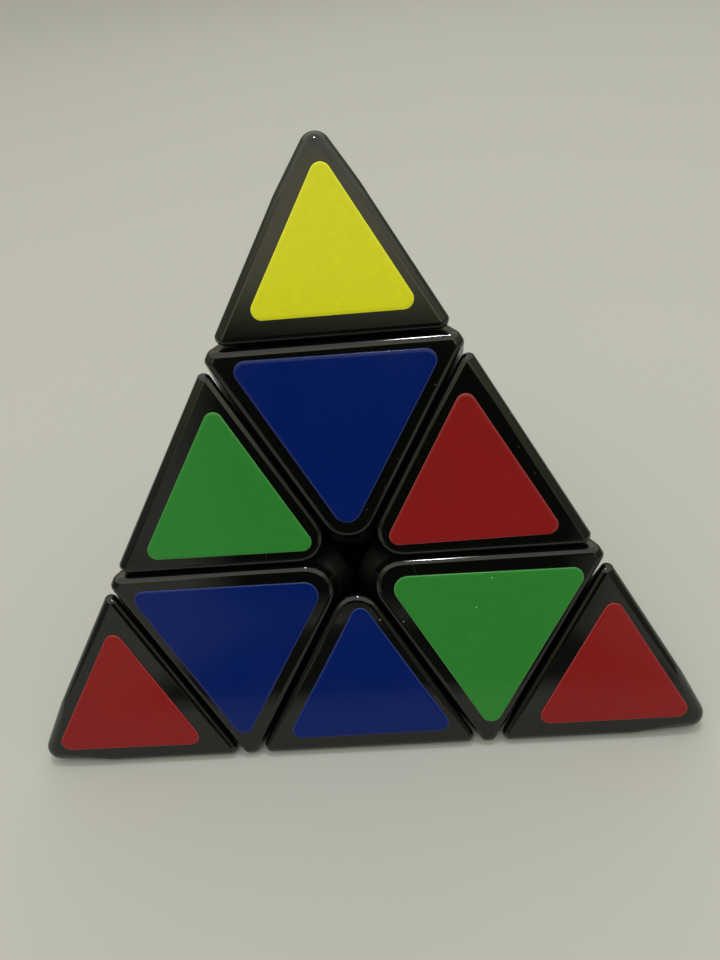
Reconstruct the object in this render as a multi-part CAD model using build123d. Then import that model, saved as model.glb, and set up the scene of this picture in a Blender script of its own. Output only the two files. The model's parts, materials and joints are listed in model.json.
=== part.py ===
from build123d import *
import math
import os

# Pyramid twisty puzzle, millimetres. The core centre is the origin, +Z points at the top
# corner, the front face looks towards -Y, and the back corner is on +Y.

# Outer body
SHARP_EDGE = 104.0  # tetrahedron edge before its edges are rounded
INRADIUS = SHARP_EDGE * math.sqrt(6) / 12
CIRCUMRADIUS = 3 * INRADIUS
FACE_HEIGHT = SHARP_EDGE * math.sqrt(3) / 2
RIDGE_R = 1.3  # rounding along the six outer edges
POINT_R = 2.1  # rounding of the four points
POINT_SPREAD = 0.05  # how much blunter than the body a point's own three sides are
POINT_LIFT = 0.02  # the rounded point just cuts the three faces instead of only touching them
RIM_R = 0.9  # rounding where a moulded piece meets the gap to its neighbour
AXIAL_CORNER_R = 4.4  # rounded inner corner of an axial facelet
EDGE_CORNER_R = 4.0  # rounded inner corner of an edge facelet

# Cuts
LAYER_CUT = INRADIUS / 3  # plane between a layer and the rest, from the centre
TIP_CUT = 35.9  # plane between a tip and its axial piece, from the centre
HALF_GAP = 0.18  # each piece stands this far back from a cut

# Hidden shells about the core centre
FOOT_OUT_R = 14.5
FOOT_IN_R = 9.3
SHELL_IN_R = 14.8  # underside of the axial shells, clear of the sliding feet
FOOT_CONE = 72.0  # half angle of the cone swept by one turning layer
NECK_R = 7.0
NECK_TOP = 19.0
PLUG_R = 4.0
PLUG_TOP = 28.0
PLUG_BASE = 13.0

# Core, screw, washer and spring
CORE_BALL_R = 6.8
ARM_R = 4.2
ARM_TOP = 9.0
POST_R = 2.6
POST_TOP = 14.2
SCREW_R = 1.25
SCREW_END = 4.5
WASHER_R = 3.6
WASHER_BASE = 21.5
WASHER_T = 0.5
HEAD_R = 3.3
HEAD_H = 2.2
HEAD_EDGE_R = 0.6
RECESS_W = 0.9
RECESS_L = 3.6
RECESS_DEPTH = 1.3
WIRE_R = 0.4
COIL_R = 3.2
COIL_TURNS = 5

# Hub inside an axial piece
HUB_R = 4.8
HUB_BASE = 9.15
HUB_TOP = 25.0
HUB_BORE_R = 2.66
LEDGE = 14.5
POCKET_R = 3.9
FLANGE_R = 6.4
FLANGE_BASE = 15.4
FLANGE_TOP = 17.4

# Socket in an axial shell and the snap stem of a tip
LIP_R = 4.06
LIP_T = 3.6
STEM_R = 4.0
STEM_PIN_R = 3.0
STEM_PIN_H = 8.0
STEM_BEAD_R = 4.4
STEM_END = 29.5
BEAD_H = 1.6
SNAP_SLOT_W = 0.9
SNAP_SLOT_TOP = 34.5
SNAP_CORE_R = 2.4

# Stickers
STICKER_T = 0.2
STICKER_CORNER_R = 1.35
TIP_STICKER = 22.8
TIP_STICKER_OUT = 0.7
AXIAL_STICKER = 28.7
AXIAL_STICKER_OUT = 0.9
EDGE_STICKER = 24.9
EDGE_STICKER_OUT = -0.5

BIG = 160.0
TOUCH = 1e-3

CORNERS = ("top", "left", "right", "back")
DIRECTION = {
    "top": Vector(0, 0, 1),
    "left": Vector(-math.sqrt(2 / 3), -math.sqrt(2) / 3, -1 / 3),
    "right": Vector(math.sqrt(2 / 3), -math.sqrt(2) / 3, -1 / 3),
    "back": Vector(0, 2 * math.sqrt(2) / 3, -1 / 3),
}

# Where each corner goes when the "top" piece, or the "top_left" edge, is turned into place
CORNER_TURNS = {
    "top": ("top", "left", "right", "back"),
    "left": ("left", "right", "top", "back"),
    "right": ("right", "top", "left", "back"),
    "back": ("back", "top", "right", "left"),
}
EDGE_TURNS = {
    "top_left": ("top", "left", "right", "back"),
    "top_right": ("right", "top", "left", "back"),
    "top_back": ("top", "back", "left", "right"),
    "left_right": ("left", "right", "top", "back"),
    "right_back": ("right", "back", "top", "left"),
    "back_left": ("back", "left", "top", "right"),
}


def turn(images):
    """Location of the rotation that sends the four corners to the named ones."""
    columns = []
    for axis in (Vector(1, 0, 0), Vector(0, 0, 1)):
        moved = Vector(0, 0, 0)
        for corner, image in zip(CORNERS, images):
            moved += DIRECTION[image] * (DIRECTION[corner].dot(axis) * 0.75)
        columns.append(moved)
    return Plane(origin=(0, 0, 0), x_dir=columns[0], z_dir=columns[1]).location


def beyond(solid, normal, distance):
    """The part of a solid on the far side of a plane."""
    plane = Plane(origin=normal * distance, z_dir=normal)
    return split(solid, bisect_by=plane, keep=Keep.TOP)


def within(solid, normal, distance):
    """The part of a solid on the near side of a plane."""
    plane = Plane(origin=normal * distance, z_dir=normal)
    return split(solid, bisect_by=plane, keep=Keep.BOTTOM)


def rod(radius, start, end, direction=DIRECTION["top"]):
    """Round bar along a direction from the centre, between two distances."""
    plane = Plane(origin=direction * start, z_dir=direction)
    return extrude(plane * Circle(radius), end - start)


def body():
    """Whole puzzle as one rounded tetrahedron."""
    solid = Box(BIG, BIG, BIG)
    for corner in CORNERS:
        solid = within(solid, DIRECTION[corner] * -1, INRADIUS)
    return fillet(solid.edges(), RIDGE_R)


def point_nose():
    """Blunter three-sided point that rounds off the top corner of the body."""
    middle = DIRECTION["top"] * (CIRCUMRADIUS - 3 * POINT_R + POINT_LIFT)
    solid = Box(BIG, BIG, BIG)
    for corner in CORNERS[1:]:
        normal = (DIRECTION["top"] * POINT_SPREAD - DIRECTION[corner]).normalized()
        solid = within(solid, normal, normal.dot(middle) + POINT_R)
    return fillet(solid.edges().sort_by(Axis.Z)[-3:], POINT_R)


def surface_steps(point):
    """Signed distances of a point past the four planes of the unrounded inner body."""
    steps = [-DIRECTION[c].dot(point) - (INRADIUS - RIDGE_R) for c in CORNERS]
    return sorted(steps, reverse=True)


def on_outside(point):
    """True when a point lies on the rounded body's surface and not on a tangent line."""
    first, second = surface_steps(point)[:2]
    if abs(second + first / 3) < TOUCH:
        return False
    if second < -first / 3:
        return abs(first - RIDGE_R) < TOUCH
    square = (first * first + second * second + 2 * first * second / 3) * 9 / 8
    return abs(math.sqrt(square) - RIDGE_R) < TOUCH


def round_rims(solid):
    """Round every edge between the outside surface and a cut."""
    rims = [e for e in solid.edges() if on_outside(e.position_at(0.5))]
    return fillet(rims, RIM_R)


def inner_edges(solid, normals):
    """Edges of a solid that run along the meeting lines of cut planes."""
    found = []
    for first, second in normals:
        line = first.cross(second).normalized()
        for edge in solid.edges().filter_by(GeomType.LINE):
            along = abs((edge.position_at(1) - edge.position_at(0)).normalized().dot(line))
            middle = edge.position_at(0.5)
            level = abs(first.dot(middle) - second.dot(middle))
            if along > 1 - TOUCH and level < TOUCH:
                found.append(edge)
    return found


def tip_body(outside):
    """Rounded block of one tip."""
    block = beyond(outside, DIRECTION["top"], TIP_CUT + HALF_GAP)
    return round_rims(block) & point_nose()


def axial_body(outside):
    """Rounded block of one axial piece."""
    block = Pos(0, 0, BIG / 2) * Box(BIG, BIG, BIG)
    others = [DIRECTION[c] for c in CORNERS[1:]]
    for normal in others:
        block = within(block, normal, LAYER_CUT - HALF_GAP)
    pairs = [(others[0], others[1]), (others[1], others[2]), (others[2], others[0])]
    block = fillet(inner_edges(block, pairs), AXIAL_CORNER_R)
    block = beyond(block, DIRECTION["top"], LAYER_CUT + HALF_GAP)
    block = within(block, DIRECTION["top"], TIP_CUT - HALF_GAP)
    return round_rims(outside & block)


def edge_wedge():
    """Space of the top-left edge piece between its two layer cuts."""
    block = Box(BIG, BIG, BIG)
    block = beyond(block, DIRECTION["top"], LAYER_CUT + HALF_GAP)
    return beyond(block, DIRECTION["left"], LAYER_CUT + HALF_GAP)


def edge_body(outside):
    """Rounded block of one edge piece."""
    block = edge_wedge()
    pair = [(DIRECTION["top"], DIRECTION["left"])]
    block = fillet(inner_edges(block, pair), EDGE_CORNER_R)
    return round_rims(outside & block)


def swept_cone(corner, growth):
    """Space swept inside the body by one turning layer, grown by a clearance."""
    angle = math.radians(FOOT_CONE)
    back = growth / math.sin(angle)
    height = 2 * FOOT_OUT_R
    cone = Solid.make_cone(0.0, height * math.tan(angle), height, Plane.XY)
    cone = Pos(0, 0, -back) * cone
    return turn(CORNER_TURNS[corner]) * cone


def tip_parts(outside):
    """Cap and snap stem of a tip."""
    base = TIP_CUT + HALF_GAP
    top = base + STEM_PIN_H
    cap = tip_body(outside) - rod(STEM_PIN_R, base, top)
    stem = rod(STEM_PIN_R, base, top) + rod(STEM_R, STEM_END, base)
    bead = TIP_CUT - HALF_GAP - LIP_T - 0.25
    stem += rod(STEM_BEAD_R, bead - BEAD_H, bead)
    stem -= rod(SNAP_CORE_R, STEM_END, SNAP_SLOT_TOP)
    height = SNAP_SLOT_TOP - STEM_END
    slot = Pos(0, 0, STEM_END + height / 2) * Box(4 * STEM_R, SNAP_SLOT_W, height)
    return {"cap": cap, "stem": stem - slot - Rot(0, 0, 90) * slot}


def axial_parts(outside):
    """Shell and hub of an axial piece."""
    lip = TIP_CUT - HALF_GAP - LIP_T
    shell = axial_body(outside) - Sphere(SHELL_IN_R)
    shell -= rod(LIP_R, FLANGE_TOP, TIP_CUT)
    shell -= rod(HUB_R, FLANGE_TOP, lip)
    shell -= rod(FLANGE_R, 0, FLANGE_TOP)
    hub = rod(HUB_R, HUB_BASE, HUB_TOP) + rod(FLANGE_R, FLANGE_BASE, FLANGE_TOP)
    hub -= rod(HUB_BORE_R, HUB_BASE, LEDGE)
    hub -= rod(POCKET_R, LEDGE, HUB_TOP)
    return {"shell": shell, "hub": hub}


def edge_parts(outside):
    """Shell and foot of an edge piece."""
    middle = (DIRECTION["top"] + DIRECTION["left"]).normalized()
    plug = rod(PLUG_R, PLUG_BASE, PLUG_TOP, middle)
    neck = edge_wedge() & rod(NECK_R, FOOT_IN_R, NECK_TOP, middle)
    foot = Sphere(FOOT_OUT_R) - Sphere(FOOT_IN_R)
    for corner in ("top", "left"):
        foot = foot & swept_cone(corner, -HALF_GAP)
    for corner in ("right", "back"):
        foot -= swept_cone(corner, HALF_GAP)
    stalk = (neck + plug & edge_wedge()) - Sphere(FOOT_OUT_R - 1)
    foot = foot + stalk
    shell = edge_body(outside) - Sphere(FOOT_OUT_R) - stalk
    return {"shell": shell, "foot": foot}


def core():
    """Ball with four arms, each ending in a thin post drilled for its screw."""
    solid = Sphere(CORE_BALL_R)
    for corner in CORNERS:
        place = turn(CORNER_TURNS[corner])
        solid += place * (rod(ARM_R, 0, ARM_TOP) + rod(POST_R, 0, POST_TOP))
    for corner in CORNERS:
        solid -= turn(CORNER_TURNS[corner]) * rod(SCREW_R, SCREW_END, POST_TOP)
    return solid


def screw():
    """Pan head screw with a cross recess."""
    seat = WASHER_BASE + WASHER_T
    head = rod(HEAD_R, seat, seat + HEAD_H)
    head = fillet(head.edges().sort_by(Axis.Z)[-1:], HEAD_EDGE_R)
    slot = Pos(0, 0, seat + HEAD_H) * Box(RECESS_L, RECESS_W, 2 * RECESS_DEPTH)
    return head + rod(SCREW_R, SCREW_END, seat) - slot - Rot(0, 0, 90) * slot


def washer():
    """Flat washer under the screw head."""
    top = WASHER_BASE + WASHER_T
    return rod(WASHER_R, WASHER_BASE, top) - rod(SCREW_R, WASHER_BASE, top)


def spring():
    """Compression spring between the washer and the ledge in the hub."""
    start = LEDGE + WIRE_R + HALF_GAP / 2
    height = WASHER_BASE - WIRE_R - start
    path = Helix(height / COIL_TURNS, height, COIL_R, center=(0, 0, start))
    section = Plane(origin=path @ 0, z_dir=path % 0) * Circle(WIRE_R)
    return sweep(section, path=path, is_frenet=True)


def sticker(side, along, points_out):
    """Rounded triangle on the front face, at a distance from the middle towards the top."""
    normal = DIRECTION["back"] * -1
    upward = (DIRECTION["top"] - normal * DIRECTION["top"].dot(normal)).normalized()
    centre = normal * INRADIUS + upward * along
    plane = Plane(origin=centre, x_dir=upward, z_dir=normal)
    angle = 0 if points_out else 180
    outline = RegularPolygon(side / math.sqrt(3), 3, rotation=angle)
    outline = fillet(outline.vertices(), STICKER_CORNER_R)
    return extrude(plane * outline, STICKER_T)


def corner_stickers(patch):
    """Three copies of a front-face sticker about the vertical axis."""
    return [Rot(0, 0, 120 * i) * patch for i in range(3)]


def edge_stickers():
    """The two stickers of the top-left edge piece."""
    patch = sticker(EDGE_STICKER, -2 * FACE_HEIGHT / 9 - EDGE_STICKER_OUT, True)
    front_turn = turn(("right", "top", "left", "back"))
    side_turn = turn(("back", "left", "top", "right"))
    return [front_turn * patch, side_turn * patch]


def save(name, shape):
    """Write one named node."""
    export_step(shape, os.path.join("parts", name + ".step"))


def save_corner_pieces(outside):
    """Tips, axial pieces and their fasteners at the four corners."""
    pieces = {"tip_cap": tip_parts(outside)["cap"], "tip_stem": tip_parts(outside)["stem"]}
    pieces["axial_shell"] = axial_parts(outside)["shell"]
    pieces["axial_hub"] = axial_parts(outside)["hub"]
    pieces["screw"] = screw()
    pieces["washer"] = washer()
    pieces["spring"] = spring()
    tip_out = 4 * FACE_HEIGHT / 9 + TIP_STICKER_OUT
    axial_out = 2 * FACE_HEIGHT / 9 + AXIAL_STICKER_OUT
    tip_patches = corner_stickers(sticker(TIP_STICKER, tip_out, True))
    axial_patches = corner_stickers(sticker(AXIAL_STICKER, axial_out, False))
    pieces["tip_stickers"] = Compound(children=tip_patches)
    pieces["axial_stickers"] = Compound(children=axial_patches)
    for corner in CORNERS:
        for name, shape in pieces.items():
            save(f"{corner}_{name}", turn(CORNER_TURNS[corner]) * shape)


def save_edge_pieces(outside):
    """The six edge pieces."""
    pieces = edge_parts(outside)
    pieces["stickers"] = Compound(children=edge_stickers())
    for edge, images in EDGE_TURNS.items():
        for name, shape in pieces.items():
            save(f"{edge}_edge_{name}", turn(images) * shape)


def main():
    os.makedirs("parts", exist_ok=True)
    outside = body()
    save("core", core())
    save_corner_pieces(outside)
    save_edge_pieces(outside)


main()
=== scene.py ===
import json
import math
import random

import bmesh
import bpy
from mathutils import Matrix, Quaternion, Vector


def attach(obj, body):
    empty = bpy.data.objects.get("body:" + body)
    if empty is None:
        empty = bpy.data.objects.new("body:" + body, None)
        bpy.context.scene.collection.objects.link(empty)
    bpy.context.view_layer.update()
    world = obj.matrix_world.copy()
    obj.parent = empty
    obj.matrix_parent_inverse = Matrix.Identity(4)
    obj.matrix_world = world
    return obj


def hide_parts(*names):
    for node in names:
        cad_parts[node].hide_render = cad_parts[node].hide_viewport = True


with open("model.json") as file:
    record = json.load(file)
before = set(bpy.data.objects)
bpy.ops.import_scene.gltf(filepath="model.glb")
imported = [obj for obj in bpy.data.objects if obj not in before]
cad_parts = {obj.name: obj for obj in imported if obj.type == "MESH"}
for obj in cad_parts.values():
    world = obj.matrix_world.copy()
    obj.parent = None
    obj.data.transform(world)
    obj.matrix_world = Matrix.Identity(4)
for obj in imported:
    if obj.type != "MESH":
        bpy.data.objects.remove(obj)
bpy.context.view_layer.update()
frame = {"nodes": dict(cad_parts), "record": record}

# Sizes are in millimetres unless a name or comment says otherwise
MM = 0.001
EDGE = 104.0
INRADIUS = EDGE * math.sqrt(6) / 12
FACE_H = EDGE * math.sqrt(3) / 2
TIP_REACH = 4 * FACE_H / 9  # from the middle of a face to the middle of a tip's facelet
INNER_REACH = 2 * FACE_H / 9  # and to the middle of an axial or edge facelet
STICKER_T = 0.2
EVEN_RADII = (1.35, 1.35, 1.35)
AXIAL_RADII = (2.0, 1.5, 1.5)  # the first corner points at the middle of the face
TIP_STICKER = 22.8
TIP_STICKER_OUT = 0.7
AXIAL_STICKER = 28.7
AXIAL_STICKER_OUT = 0.9
EDGE_STICKER = 24.9
EDGE_STICKER_OUT = -0.5
CORNERS = ("top", "left", "right", "back")
DIRECTION = {
    "top": Vector((0, 0, 1)),
    "left": Vector((-math.sqrt(2 / 3), -math.sqrt(2) / 3, -1 / 3)),
    "right": Vector((math.sqrt(2 / 3), -math.sqrt(2) / 3, -1 / 3)),
    "back": Vector((0, 2 * math.sqrt(2) / 3, -1 / 3)),
}
# Each face is named for itself and found by the corner it does not touch
FACES = {"front": "back", "left_side": "right", "right_side": "left", "bottom": "top"}

# Sticker colours of the scrambled state
TIP_COLOURS = {
    "top": {"front": "yellow", "left_side": "green", "right_side": "blue"},
    "left": {"front": "red", "left_side": "green", "bottom": "blue"},
    "right": {"front": "red", "right_side": "green", "bottom": "yellow"},
    "back": {"left_side": "blue", "right_side": "yellow", "bottom": "red"},
}
AXIAL_COLOURS = {
    "top": {"front": "blue", "left_side": "yellow", "right_side": "green"},
    "left": {"front": "blue", "left_side": "red", "bottom": "green"},
    "right": {"front": "green", "right_side": "yellow", "bottom": "red"},
    "back": {"left_side": "yellow", "right_side": "red", "bottom": "blue"},
}
EDGE_COLOURS = {
    ("top", "left"): {"front": "green", "left_side": "blue"},
    ("top", "right"): {"front": "red", "right_side": "blue"},
    ("top", "back"): {"right_side": "yellow", "left_side": "green"},
    ("left", "right"): {"front": "blue", "bottom": "yellow"},
    ("right", "back"): {"bottom": "red", "right_side": "green"},
    ("back", "left"): {"bottom": "yellow", "left_side": "red"},
}


# ---------------------------------------------------------------- materials
SPECK_CORE = 0.6  # part of a speck's radius that is solid
SCRATCH_BEND = 0.012  # metres that a hairline wanders
SCRATCH_FADE = 0.05  # how softly a hairline ends
GAP_DEPTHS = (0.0009, 0.0016)  # metres below the faces where the painted shade and the dullness in the gaps start and are full
MIDDLE = (0.3, 0.7)  # the range that most of a noise pattern lies in
CUT_EDGE = (0.10, 0.30)  # inside values between which the pale cut edge ends
SCUFF_GREY = (0.06, 0.06, 0.055)
DUST_ON_BLACK = (0.30, 0.30, 0.27)
DUST_ON_VINYL = (0.45, 0.45, 0.42)
VINYL_ROUGH = (0.13, 0.21)
VINYL_GLOSS = 0.22
STICKER_RGB = {
    "yellow": (0.53, 0.535, 0.010),
    "red": (0.190, 0.0085, 0.0095),
    "blue": (0.0002, 0.0090, 0.103),
    "green": (0.022, 0.172, 0.026),
}


def new_material(name):
    """A fresh material, with its node tree and its shader."""
    material = bpy.data.materials.new(name)
    material.use_nodes = True
    tree = material.node_tree
    return material, tree, tree.nodes["Principled BSDF"]


def node(tree, kind, **settings):
    """A new node with properties of its own, such as its operation, set."""
    made = tree.nodes.new(kind)
    for key, value in settings.items():
        setattr(made, key, value)
    return made


def ramp(tree, source, low, high, low_value, high_value):
    """The source's range from low to high stretched over another range, and held at its ends."""
    made = node(tree, "ShaderNodeMapRange", clamp=True)
    tree.links.new(source, made.inputs["Value"])
    made.inputs["From Min"].default_value = low
    made.inputs["From Max"].default_value = high
    made.inputs["To Min"].default_value = low_value
    made.inputs["To Max"].default_value = high_value
    return made.outputs["Result"]


def noise(tree, coords, scale, detail=2.0, rough=0.5):
    """Noise from 0 to 1, with a scale in features per metre."""
    made = node(tree, "ShaderNodeTexNoise")
    made.inputs["Scale"].default_value = scale
    made.inputs["Detail"].default_value = detail
    made.inputs["Roughness"].default_value = rough
    tree.links.new(coords, made.inputs["Vector"])
    return made.outputs["Fac"]


def voronoi(tree, coords, scale, feature="F1"):
    """The whole node, since both its distance and its colour are used."""
    made = node(tree, "ShaderNodeTexVoronoi", feature=feature)
    made.inputs["Scale"].default_value = scale
    tree.links.new(coords, made.inputs["Vector"])
    return made


def math_node(tree, operation, first, second):
    """The result is held between 0 and 1. Each side is a number or the output of a node."""
    made = node(tree, "ShaderNodeMath", operation=operation, use_clamp=True)
    for socket, value in zip(made.inputs, (first, second)):
        if isinstance(value, (int, float)):
            socket.default_value = value
        else:
            tree.links.new(value, socket)
    return made.outputs["Value"]


def scaled(tree, value, amount):
    return math_node(tree, "MULTIPLY", value, amount)


def total(tree, first, *others):
    for other in others:
        first = math_node(tree, "ADD", first, other)
    return first


def shade(colour, amount):
    return tuple(c * amount for c in colour)


def blend_colour(tree, factor, first, second):
    """From the first colour to the second. Each is a tuple or the output of a node."""
    made = node(tree, "ShaderNodeMix", data_type="RGBA")
    tree.links.new(factor, made.inputs["Factor"])
    for key, value in (("A", first), ("B", second)):
        if isinstance(value, tuple):
            made.inputs[key].default_value = (*value, 1)
        else:
            tree.links.new(value, made.inputs[key])
    return made.outputs["Result"]


def moved(tree, coords, offset):
    """The same coordinates from another origin, so that two patterns don't agree."""
    made = node(tree, "ShaderNodeVectorMath", operation="ADD")
    tree.links.new(coords, made.inputs[0])
    made.inputs[1].default_value = offset
    return made.outputs["Vector"]


def specks(tree, coords, scale, radius, share):
    """Dust: a small round speck in some of the cells, with a radius in cells."""
    cells = voronoi(tree, coords, scale)
    chosen = node(tree, "ShaderNodeSeparateXYZ")
    tree.links.new(cells.outputs["Color"], chosen.inputs[0])
    here = math_node(tree, "LESS_THAN", chosen.outputs["X"], share)
    spot = ramp(tree, cells.outputs["Distance"], radius * SPECK_CORE, radius, 1.0, 0.0)
    return math_node(tree, "MULTIPLY", here, spot)


def scratches(tree, coords, scale, width, share):
    """Hairlines: a few of the borders between large warped cells."""
    warp = node(tree, "ShaderNodeTexNoise")
    warp.inputs["Scale"].default_value = scale * 0.7
    tree.links.new(coords, warp.inputs["Vector"])
    bent = node(tree, "ShaderNodeVectorMath", operation="MULTIPLY_ADD")
    tree.links.new(warp.outputs["Color"], bent.inputs[0])
    bent.inputs[1].default_value = (SCRATCH_BEND, SCRATCH_BEND, SCRATCH_BEND)
    tree.links.new(coords, bent.inputs[2])
    lines = voronoi(tree, bent.outputs["Vector"], scale, "DISTANCE_TO_EDGE")
    line = ramp(tree, lines.outputs["Distance"], 0.0, width, 1.0, 0.0)
    where = noise(tree, moved(tree, coords, (0.31, 0.17, 0.23)), scale * 1.7, rough=0.6)
    kept = ramp(tree, where, 1 - share, 1 - share + SCRATCH_FADE, 0.0, 1.0)
    return math_node(tree, "MULTIPLY", line, kept)


def relief(tree, shader, layers):
    """Bumps over each other, each with a height, a strength and a distance in metres."""
    last = None
    for height, strength, distance in layers:
        bump = node(tree, "ShaderNodeBump")
        bump.inputs["Strength"].default_value = strength
        bump.inputs["Distance"].default_value = distance
        tree.links.new(height, bump.inputs["Height"])
        if last:
            tree.links.new(last, bump.inputs["Normal"])
        last = bump.outputs["Normal"]
    tree.links.new(last, shader.inputs["Normal"])


def depth_below_faces(tree, coords):
    """Distance in metres from a point to the nearest of the four outer faces."""
    nearest = None
    for inward in DIRECTION.values():
        along = node(tree, "ShaderNodeVectorMath", operation="DOT_PRODUCT")
        tree.links.new(coords, along.inputs[0])
        along.inputs[1].default_value = inward
        depth = math_node(tree, "ADD", along.outputs["Value"], INRADIUS * MM)
        nearest = math_node(tree, "MINIMUM", nearest, depth) if nearest else depth
    return nearest


def black_plastic(name, base, gloss, rough, dust_share):
    """Moulded black plastic: faint waviness, hairlines, a little dust, painted shade and dull
    walls in the gaps.
    """
    material, tree, shader = new_material(name)
    coords = node(tree, "ShaderNodeTexCoord").outputs["Object"]
    gap_shade_and_dull = ramp(tree, depth_below_faces(tree, coords), *GAP_DEPTHS, 0.0, 1.0)
    hair = scratches(tree, coords, scale=42.0, width=0.0022, share=0.40)
    dust = specks(tree, coords, scale=620.0, radius=0.085, share=dust_share)
    elsewhere = moved(tree, coords, (0.4, 0.2, 0.1))
    lint = specks(tree, elsewhere, scale=1500.0, radius=0.11, share=dust_share * 0.8)
    grime = math_node(tree, "MAXIMUM", scaled(tree, dust, 0.6), scaled(tree, lint, 0.3))

    tone = noise(tree, coords, scale=60.0, detail=4.0, rough=0.6)
    body = blend_colour(tree, tone, shade(base, 0.8), shade(base, 1.25))
    body = blend_colour(tree, scaled(tree, hair, 0.25), body, SCUFF_GREY)
    body = blend_colour(tree, grime, body, DUST_ON_BLACK)
    # Painted shade: the colour gets darker deeper in the gaps between pieces
    body = blend_colour(tree, gap_shade_and_dull, body, shade(base, 0.4))
    tree.links.new(body, shader.inputs["Base Color"])

    cloud = noise(tree, coords, scale=110.0, detail=5.0, rough=0.65)
    smooth = ramp(tree, cloud, *MIDDLE, rough, rough + 0.05)
    wear = (scaled(tree, hair, 0.25), scaled(tree, grime, 0.5), scaled(tree, gap_shade_and_dull, 0.35))
    tree.links.new(total(tree, smooth, *wear), shader.inputs["Roughness"])
    shader.inputs["Specular IOR Level"].default_value = gloss

    waves = noise(tree, coords, scale=45.0, detail=1.0)
    relief(tree, shader, ((waves, 0.05, 0.00008), (hair, 0.04, 0.00001)))
    return material


def sticker_vinyl(colour):
    """Printed vinyl: even colour, a pale cut edge, hairlines, specks of dust."""
    material, tree, shader = new_material("sticker_" + colour)
    coords = node(tree, "ShaderNodeTexCoord").outputs["Object"]
    inside = node(tree, "ShaderNodeAttribute", attribute_name="inside").outputs["Fac"]
    hair = scratches(tree, coords, scale=70.0, width=0.003, share=0.36)
    dust = specks(tree, coords, scale=420.0, radius=0.055, share=0.07)

    base = STICKER_RGB[colour]
    pale = tuple(min(1.0, c * 1.25 + 0.035) for c in base)
    tone = noise(tree, coords, scale=38.0, detail=3.0, rough=0.6)
    body = blend_colour(tree, tone, shade(base, 0.92), shade(base, 1.08))
    mottle = ramp(tree, noise(tree, coords, scale=900.0, rough=0.7), 0.45, 0.75, 0.0, 0.5)
    body = blend_colour(tree, mottle, body, shade(base, 1.12))
    body = blend_colour(tree, ramp(tree, inside, *CUT_EDGE, 0.0, 1.0), pale, body)
    body = blend_colour(tree, scaled(tree, hair, 0.30), body, pale)
    body = blend_colour(tree, scaled(tree, dust, 0.6), body, DUST_ON_VINYL)
    tree.links.new(body, shader.inputs["Base Color"])

    cloud = noise(tree, coords, scale=120.0, detail=4.0, rough=0.6)
    smooth = ramp(tree, cloud, *MIDDLE, *VINYL_ROUGH)
    tree.links.new(total(tree, smooth, scaled(tree, hair, 0.2)), shader.inputs["Roughness"])
    shader.inputs["Specular IOR Level"].default_value = VINYL_GLOSS

    waves = noise(tree, coords, scale=90.0)
    grain = noise(tree, coords, scale=2200.0)
    relief(tree, shader, ((waves, 0.12, 0.00010), (grain, 0.12, 0.00002), (hair, 0.25, 0.00001)))
    return material


def steel(name, tint, rough):
    """Plated or drawn steel with cloudy patches."""
    material, tree, shader = new_material(name)
    coords = node(tree, "ShaderNodeTexCoord").outputs["Object"]
    cloud = noise(tree, coords, scale=400.0, detail=3.0, rough=0.6)
    tree.links.new(blend_colour(tree, cloud, shade(tint, 0.85), tint), shader.inputs["Base Color"])
    tree.links.new(ramp(tree, cloud, *MIDDLE, rough, rough + 0.2), shader.inputs["Roughness"])
    shader.inputs["Metallic"].default_value = 1.0
    return material


def core_plastic(worn, clean):
    """Satin black plastic with faint wear."""
    material, tree, shader = new_material("core_plastic")
    coords = node(tree, "ShaderNodeTexCoord").outputs["Object"]
    cloud = noise(tree, coords, scale=150.0, detail=3.0, rough=0.6)
    body = blend_colour(tree, ramp(tree, cloud, 0.35, 0.65, 0.0, 1.0), worn, clean)
    tree.links.new(body, shader.inputs["Base Color"])
    tree.links.new(ramp(tree, cloud, *MIDDLE, 0.35, 0.55), shader.inputs["Roughness"])
    return material


def paint(name, material):
    """Give a CAD node one material in place of the one it came with."""
    holder = frame["nodes"][name].data.materials
    holder.clear()
    holder.append(material)


BLACK = black_plastic(
    "black_plastic", (0.0016, 0.0021, 0.0018), gloss=0.55, rough=0.045, dust_share=0.04)
# Painted shade: a darker copy of the black plastic for the parts deep inside, so the hollow in the
# middle reads dark
PAINTED_SHADE_INSIDE = black_plastic(
    "black_plastic_inside_painted_shade", (0.0010, 0.0011, 0.0011), gloss=0.03, rough=0.50, dust_share=0.01)
VINYL = {colour: sticker_vinyl(colour) for colour in STICKER_RGB}
MATERIALS = {
    "black_plastic": BLACK,
    "core_plastic": core_plastic((0.008, 0.008, 0.008), (0.013, 0.013, 0.013)),
    "steel": steel("zinc_steel", (0.62, 0.62, 0.63), 0.25),
    "spring_steel": steel("spring_steel", (0.5, 0.5, 0.5), 0.3),
}
UNSEEN_PARTS = ("_edge_foot", "_axial_hub", "_tip_stem")
for part in frame["record"]["subparts"]:
    # The parts deep inside get the darker copy: painted shade
    if part["node"].endswith(UNSEEN_PARTS):
        paint(part["node"], PAINTED_SHADE_INSIDE)
    elif part["material_slot"] in MATERIALS:
        paint(part["node"], MATERIALS[part["material_slot"]])


# ---------------------------------------------------------------- stickers
CORNER_STEPS = 10
LEAST_RADIUS = 0.3  # keeps the inner rings from shrinking to a sharp corner
RINGS = (  # inset from the outline, height above the plastic, inside value
    (0.00, 0.00, 0.0),
    (0.00, 0.13, 0.0),
    (0.02, 0.17, 0.1),
    (0.07, STICKER_T, 0.2),
    (0.50, STICKER_T, 0.6),
    (1.40, STICKER_T, 1.0),
)


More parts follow.
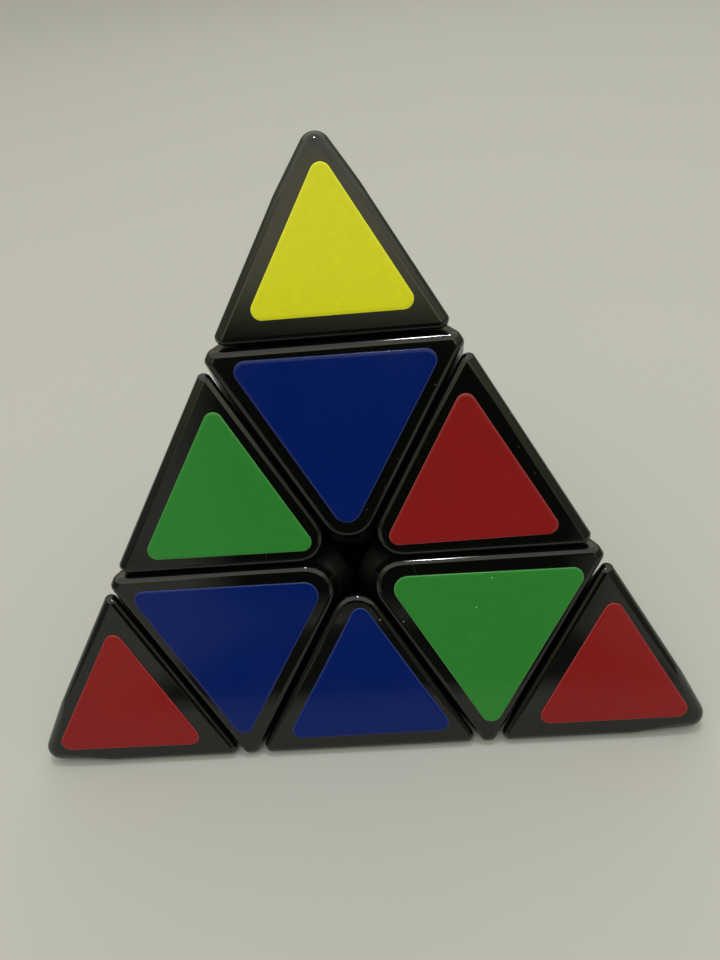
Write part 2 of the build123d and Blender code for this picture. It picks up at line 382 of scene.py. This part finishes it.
def outline(side, radii, inset):
    """Rounded triangle pointing along +X, as points about its middle."""
    reach = side / math.sqrt(3) - 2 * inset
    points = []
    for i in range(3):
        radius = max(radii[i] - inset, LEAST_RADIUS)
        angle = math.radians(120 * i)
        out = reach - 2 * radius
        middle = Vector((math.cos(angle), math.sin(angle))) * out
        for k in range(CORNER_STEPS + 1):
            turn = angle + math.radians(-60 + 120 * k / CORNER_STEPS)
            points.append(middle + Vector((math.cos(turn), math.sin(turn))) * radius)
    return points


def sticker(name, body, cad, colour, centre, apex, normal, side):
    """One sticker with a softened cut edge, in place of the CAD one."""
    radii = AXIAL_RADII if "_axial_" in name else EVEN_RADII
    mesh = bpy.data.meshes.new(name)
    work = bmesh.new()
    layer = work.verts.layers.float.new("inside")
    across = normal.cross(apex).normalized()
    rings = []
    for inset, height, inside in RINGS:
        ring = []
        for p in outline(side, radii, inset):
            place = centre + apex * p.x + across * p.y + normal * height
            vert = work.verts.new(place * MM)
            vert[layer] = inside
            ring.append(vert)
        rings.append(ring)
    count = len(rings[0])
    for low, high in zip(rings, rings[1:]):
        for i in range(count):
            j = (i + 1) % count
            work.faces.new((low[i], low[j], high[j], high[i]))
    work.faces.new(rings[-1])
    work.faces.new(list(reversed(rings[0])))
    for face in work.faces:
        face.smooth = True
    work.to_mesh(mesh)
    work.free()
    made = bpy.data.objects.new(name, mesh)
    bpy.context.scene.collection.objects.link(made)
    mesh.materials.append(VINYL[colour])
    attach(made, body)
    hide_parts(cad)


def in_face(corner, normal):
    """Direction within a face towards one of its corners."""
    outward = DIRECTION[corner]
    return (outward - normal * outward.dot(normal)).normalized()


# Stickers laid visibly off centre: millimetres to the right and up the face
OFF_CENTRE = {
    "top_tip_sticker_front": (0.5, -0.1),
    "right_tip_sticker_front": (0.4, 0.4),
    "left_right_edge_sticker_front": (0.5, -0.1),
}
SLIP = 0.22  # millimetres that any other sticker may be off, each way
TWIST = 0.6  # degrees that any sticker may be turned, each way
hand = random.Random(31)


def lay(name, body, cad, colour, centre, apex, normal, side):
    """One sticker, put on by hand: a little off its place and a little turned."""
    upward = in_face("top", normal) if normal.z > -0.5 else in_face("back", normal)
    rightward = upward.cross(normal)
    right, up = OFF_CENTRE.get(name, (hand.uniform(-SLIP, SLIP), hand.uniform(-SLIP, SLIP)))
    slip = rightward * right + upward * up
    twist = Quaternion(normal, math.radians(hand.uniform(-TWIST, TWIST)))
    sticker(name, body, cad, colour, centre + slip, twist @ apex, normal, side)


for face, opposite in FACES.items():
    normal = -DIRECTION[opposite]
    middle = normal * INRADIUS
    for corner in CORNERS:
        if corner == opposite:
            continue
        outward = in_face(corner, normal)
        lay(f"{corner}_tip_sticker_{face}", f"tip_{corner}", f"{corner}_tip_stickers",
            TIP_COLOURS[corner][face], middle + outward * (TIP_REACH + TIP_STICKER_OUT),
            outward, normal, TIP_STICKER)
        lay(f"{corner}_axial_sticker_{face}", f"axial_{corner}", f"{corner}_axial_stickers",
            AXIAL_COLOURS[corner][face], middle + outward * (INNER_REACH + AXIAL_STICKER_OUT),
            -outward, normal, AXIAL_STICKER)
    for (first, second), colours in EDGE_COLOURS.items():
        if face not in colours:
            continue
        third = [corner for corner in CORNERS if corner not in (first, second, opposite)][0]
        apex = in_face(third, normal)
        edge = f"{first}_{second}_edge"
        lay(f"{edge}_sticker_{face}", f"edge_{first}_{second}", f"{edge}_stickers",
            colours[face], middle - apex * (INNER_REACH + EDGE_STICKER_OUT),
            apex, normal, EDGE_STICKER)


# ---------------------------------------------------------------- floor, in metres
FLOOR_Z = -(INRADIUS + STICKER_T) * MM
FLOOR_SIZE = 30
FLOOR_COLOURS = ((0.360, 0.360, 0.350), (0.315, 0.320, 0.318))


def floor_pale():
    """Matt and pale, with a hint of cloudiness."""
    material, tree, shader = new_material("floor_pale")
    coords = node(tree, "ShaderNodeTexCoord").outputs["Object"]
    cloud = noise(tree, coords, scale=35.0, detail=4.0, rough=0.6)
    patches = ramp(tree, cloud, *MIDDLE, 0.0, 0.06)
    tree.links.new(blend_colour(tree, patches, *FLOOR_COLOURS), shader.inputs["Base Color"])
    shader.inputs["Roughness"].default_value = 0.9
    shader.inputs["Specular IOR Level"].default_value = 0.2
    return material


bpy.ops.mesh.primitive_plane_add(size=FLOOR_SIZE, location=(0, 0, FLOOR_Z))
floor = bpy.context.object
floor.name = "floor"
floor.data.materials.append(floor_pale())


# ---------------------------------------------------------------- lamps, in metres and watts
# The last two light the colours without a second highlight on the points
LAMPS = (  # name, place, size, power, colour, whether it shows as a highlight
    ("overhead_lamp", (0.03, 0.03, 0.80), (0.05, 0.05), 1.6, (1, 0.97, 0.92), True),
    ("key_front", (-0.12, -0.60, 0.78), (0.6, 0.5), 2.4, (1, 0.98, 0.95), False),
    ("rim_back", (0.10, 0.75, 0.60), (0.6, 0.4), 0.8, (1, 1, 1), False),
)


def area(name, place, size, power, colour, highlight):
    """A rectangular lamp that points at the middle of the puzzle."""
    data = bpy.data.lights.new(name, "AREA")
    data.shape = "RECTANGLE"
    data.size, data.size_y = size
    data.energy = power
    data.color = colour
    lamp = bpy.data.objects.new(name, data)
    lamp.location = place
    lamp.rotation_mode = "QUATERNION"
    lamp.rotation_quaternion = (-Vector(place)).to_track_quat("-Z", "Y")
    lamp.visible_glossy = highlight
    bpy.context.scene.collection.objects.link(lamp)


for lamp_row in LAMPS:
    area(*lamp_row)


# ---------------------------------------------------------------- surroundings
SKY = (  # height, from 0 at the horizon to 1 straight up, and colour
    (0.00, (0.46, 0.46, 0.43)),
    (0.10, (0.46, 0.46, 0.40)),
    (0.24, (0.80, 0.84, 0.50)),
    (0.36, (1.42, 1.38, 0.88)),
    (0.60, (1.25, 1.24, 1.02)),
    (1.00, (1.05, 1.06, 1.02)),
)
WINDOW_EDGE = (0.38, 0.65)  # sideways over forwards, where the window's light fades
BESIDE_WINDOW = 0.35
WINDOW_TOP = (0.38, 0.56)  # heights between which the light starts to come from all round
LEAST_AHEAD = 0.001  # keeps the division from reaching zero


def studio_world():
    """Bright above. Lower down most light is in front, like a window behind the viewer."""
    world = bpy.data.worlds.new("studio")
    world.use_nodes = True
    tree = world.node_tree
    background = tree.nodes["Background"]
    toward = node(tree, "ShaderNodeSeparateXYZ")
    generated = node(tree, "ShaderNodeTexCoord").outputs["Generated"]
    tree.links.new(generated, toward.inputs[0])

    bands = node(tree, "ShaderNodeValToRGB")
    bands.color_ramp.interpolation = "EASE"
    while len(bands.color_ramp.elements) < len(SKY):
        bands.color_ramp.elements.new(0.5)
    for element, (position, colour) in zip(bands.color_ramp.elements, SKY):
        element.position = position
        element.color = (*colour, 1)
    tree.links.new(toward.outputs["Z"], bands.inputs["Fac"])
    tree.links.new(bands.outputs["Color"], background.inputs["Color"])

    aside = math_node(tree, "ABSOLUTE", toward.outputs["X"], 0.0)
    ahead = math_node(tree, "MAXIMUM", scaled(tree, toward.outputs["Y"], -1.0), LEAST_AHEAD)
    off_front = math_node(tree, "DIVIDE", aside, ahead)
    window = ramp(tree, off_front, *WINDOW_EDGE, 1.0, BESIDE_WINDOW)
    overhead = ramp(tree, toward.outputs["Z"], *WINDOW_TOP, 0.0, 1.0)
    strength = math_node(tree, "MAXIMUM", window, overhead)
    tree.links.new(strength, background.inputs["Strength"])
    return world


bpy.context.scene.world = studio_world()
bpy.context.scene.view_settings.view_transform = "Standard"
bpy.context.scene.view_settings.look = "None"


# ---------------------------------------------------------------- camera
SENSOR_WIDTH = 36
FOCAL_LENGTH = 31.6
CLIP_START = 0.005  # metres
CAMERA_PLACE = Vector((8.71, -108.08, 83.82)) * MM
FORWARD = Vector((-0.05834, 0.81386, -0.57812)).normalized()
UP = Vector((0.99583, 0.00676, -0.09098)).cross(FORWARD).normalized()
RIGHT = FORWARD.cross(UP).normalized()

optics = bpy.data.cameras.new("camera")
optics.sensor_width = SENSOR_WIDTH
optics.lens = FOCAL_LENGTH
optics.clip_start = CLIP_START
camera = bpy.data.objects.new("camera", optics)
bpy.context.scene.collection.objects.link(camera)
camera.location = CAMERA_PLACE
camera.rotation_mode = "QUATERNION"
camera.rotation_quaternion = Matrix((RIGHT, UP, -FORWARD)).transposed().to_quaternion()
bpy.context.scene.camera = camera


# ---------------------------------------------------------------- dark cards, in metres
CARD_COLOUR = (0.012, 0.014, 0.013, 1)
SOFT_EDGE = 0.13  # part of a card's width over which it fades in
UPRIGHT_SIZE = (0.140, 0.120)
UPRIGHT_PLACE = CAMERA_PLACE + RIGHT * 0.002 - UP * 0.075 - FORWARD * 0.006
FLAT_SIZE = (0.122, 0.150)
FLAT_PLACE = Vector((0.002, -0.131, FLOOR_Z + 0.002))


def card_black():
    """Matt black that fades out towards the four edges of a card."""
    material, tree, shader = new_material("card_black")
    shader.inputs["Base Color"].default_value = CARD_COLOUR
    shader.inputs["Roughness"].default_value = 0.8
    across = node(tree, "ShaderNodeSeparateXYZ")
    generated = node(tree, "ShaderNodeTexCoord").outputs["Generated"]
    tree.links.new(generated, across.inputs[0])
    inside = None
    for axis in ("X", "Y"):
        spot = across.outputs[axis]
        other_edge = math_node(tree, "SUBTRACT", 1.0, spot)
        near_edge = math_node(tree, "MINIMUM", spot, other_edge)
        inside = math_node(tree, "MINIMUM", inside, near_edge) if inside else near_edge
    tree.links.new(ramp(tree, inside, 0.0, SOFT_EDGE, 0.0, 1.0), shader.inputs["Alpha"])
    return material


def dark_card(name, size, place, turn, material):
    """An unseen card that keeps the middle of the front face from mirroring the room. The one laid
    on the floor is a painted shadow, seen only in reflections.
    """
    mesh = bpy.data.meshes.new(name)
    x, y = size[0] / 2, size[1] / 2
    mesh.from_pydata([(-x, -y, 0), (x, -y, 0), (x, y, 0), (-x, y, 0)], [], [(0, 1, 2, 3)])
    made = bpy.data.objects.new(name, mesh)
    bpy.context.scene.collection.objects.link(made)
    made.location = place
    made.rotation_mode = "QUATERNION"
    made.rotation_quaternion = turn
    made.visible_camera = False
    made.visible_diffuse = False
    made.visible_shadow = False
    mesh.materials.append(material)


CARD = card_black()
dark_card("card_upright", UPRIGHT_SIZE, UPRIGHT_PLACE, camera.rotation_quaternion, CARD)
# Painted shadow: a dark sheet on the floor in front, seen only in reflections, where the floor
# lies in shade
dark_card("card_flat_painted_shadow", FLAT_SIZE, FLAT_PLACE, Quaternion(), CARD)
